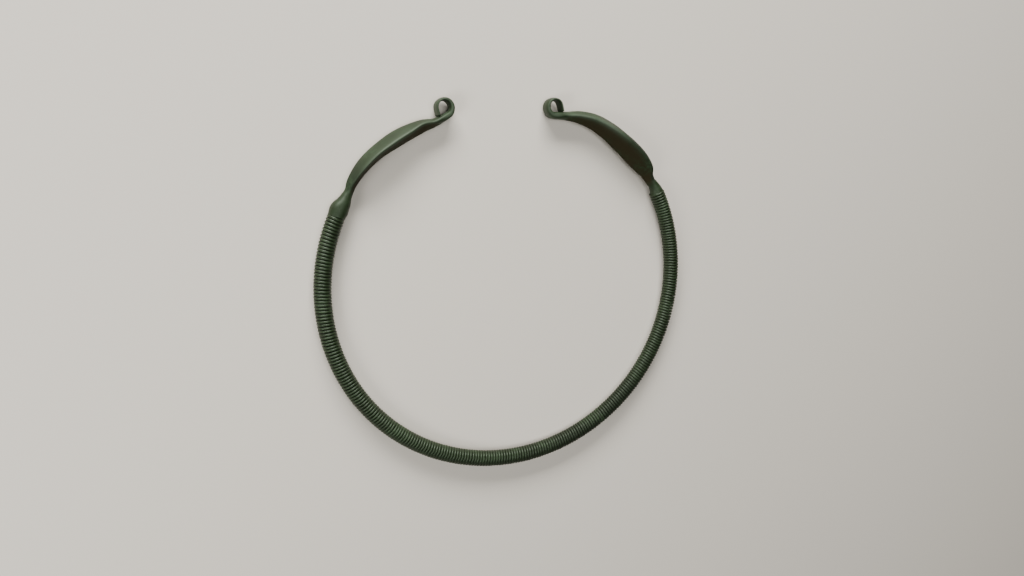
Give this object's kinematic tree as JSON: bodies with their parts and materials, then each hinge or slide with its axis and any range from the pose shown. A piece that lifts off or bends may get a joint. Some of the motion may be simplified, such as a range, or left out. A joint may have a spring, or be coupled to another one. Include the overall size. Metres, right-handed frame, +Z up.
{
  "type": "wire-wound torc",
  "caption": "Open bronze neck ring: a bar wound closely with thin wire, with bare leaf-shaped ends rolled outward into small loops.",
  "frame": {"origin": "middle of the whole object's footprint, on the surface that it lies on", "axes": "+Z up, square to the plane of the ring; +Y from the middle of the ring towards the gap between the ends; +X to the right, across the ring"},
  "size_m": [0.1476, 0.141, 0.0086],
  "materials": {
    "bare_bronze": "satin dark green patina on forged bronze",
    "wound_wire": "satin dark green patina on bronze wire, darker in the grooves"
  },
  "bodies": {
    "root": {"hoop": "bare_bronze", "wire_winding": "wound_wire"}
  },
  "joints": []
}
